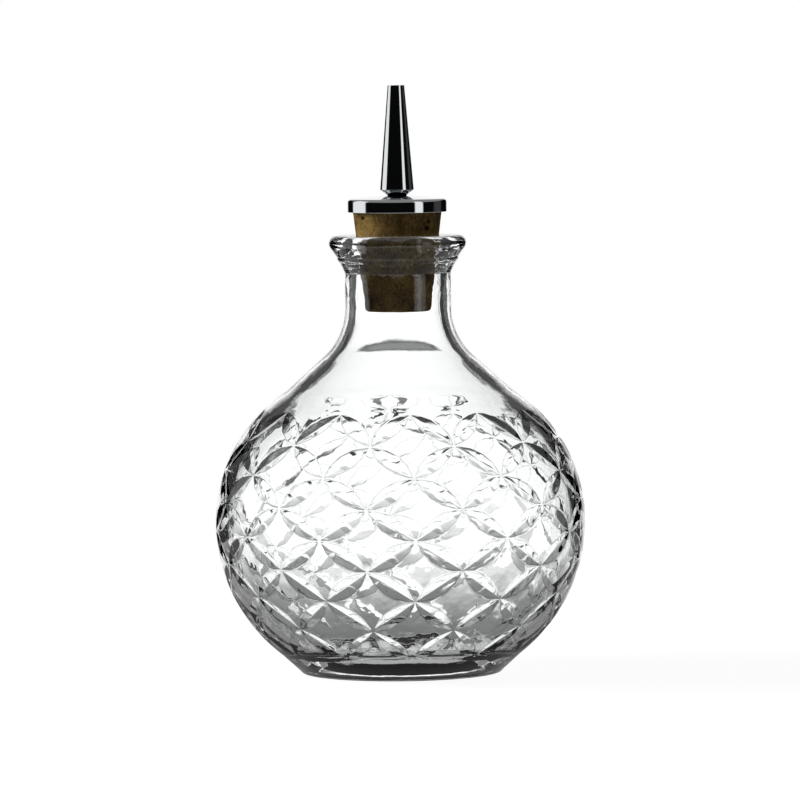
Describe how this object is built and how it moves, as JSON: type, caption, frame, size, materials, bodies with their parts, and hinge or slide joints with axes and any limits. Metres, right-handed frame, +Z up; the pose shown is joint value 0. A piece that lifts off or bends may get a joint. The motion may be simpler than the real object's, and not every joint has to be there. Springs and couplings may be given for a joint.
{
  "type": "bitters bottle",
  "caption": "Round cut-glass dasher bottle with a short neck, a rounded lip, and a tapered cork stopper that carries a metal collar and a narrow pouring spout.",
  "frame": {"origin": "centre of the ring that the bottle stands on, on the table plane", "axes": "+Z up along the bottle's axis, towards the spout's tip; -Y is the side that the picture shows"},
  "size_m": [0.0904, 0.0904, 0.1438],
  "materials": {
    "clear_glass": "clear pressed glass, fire polished",
    "natural_cork": "natural cork, sanded, with dark pores",
    "plain_steel": "drawn tube",
    "chrome_plate": "bright chrome plate, polished"
  },
  "bodies": {
    "bottle": {"glass_bottle": "clear_glass"},
    "stopper": {"cork_stopper": "natural_cork", "stem_tube": "plain_steel", "collar_cap": "chrome_plate", "spout_cone": "chrome_plate"}
  },
  "joints": [
    {"name": "stopper_lift", "type": "slide", "parent": "bottle", "child": "stopper", "axis": [0, 0, 1], "range_m": [0, 0.03]}
  ]
}
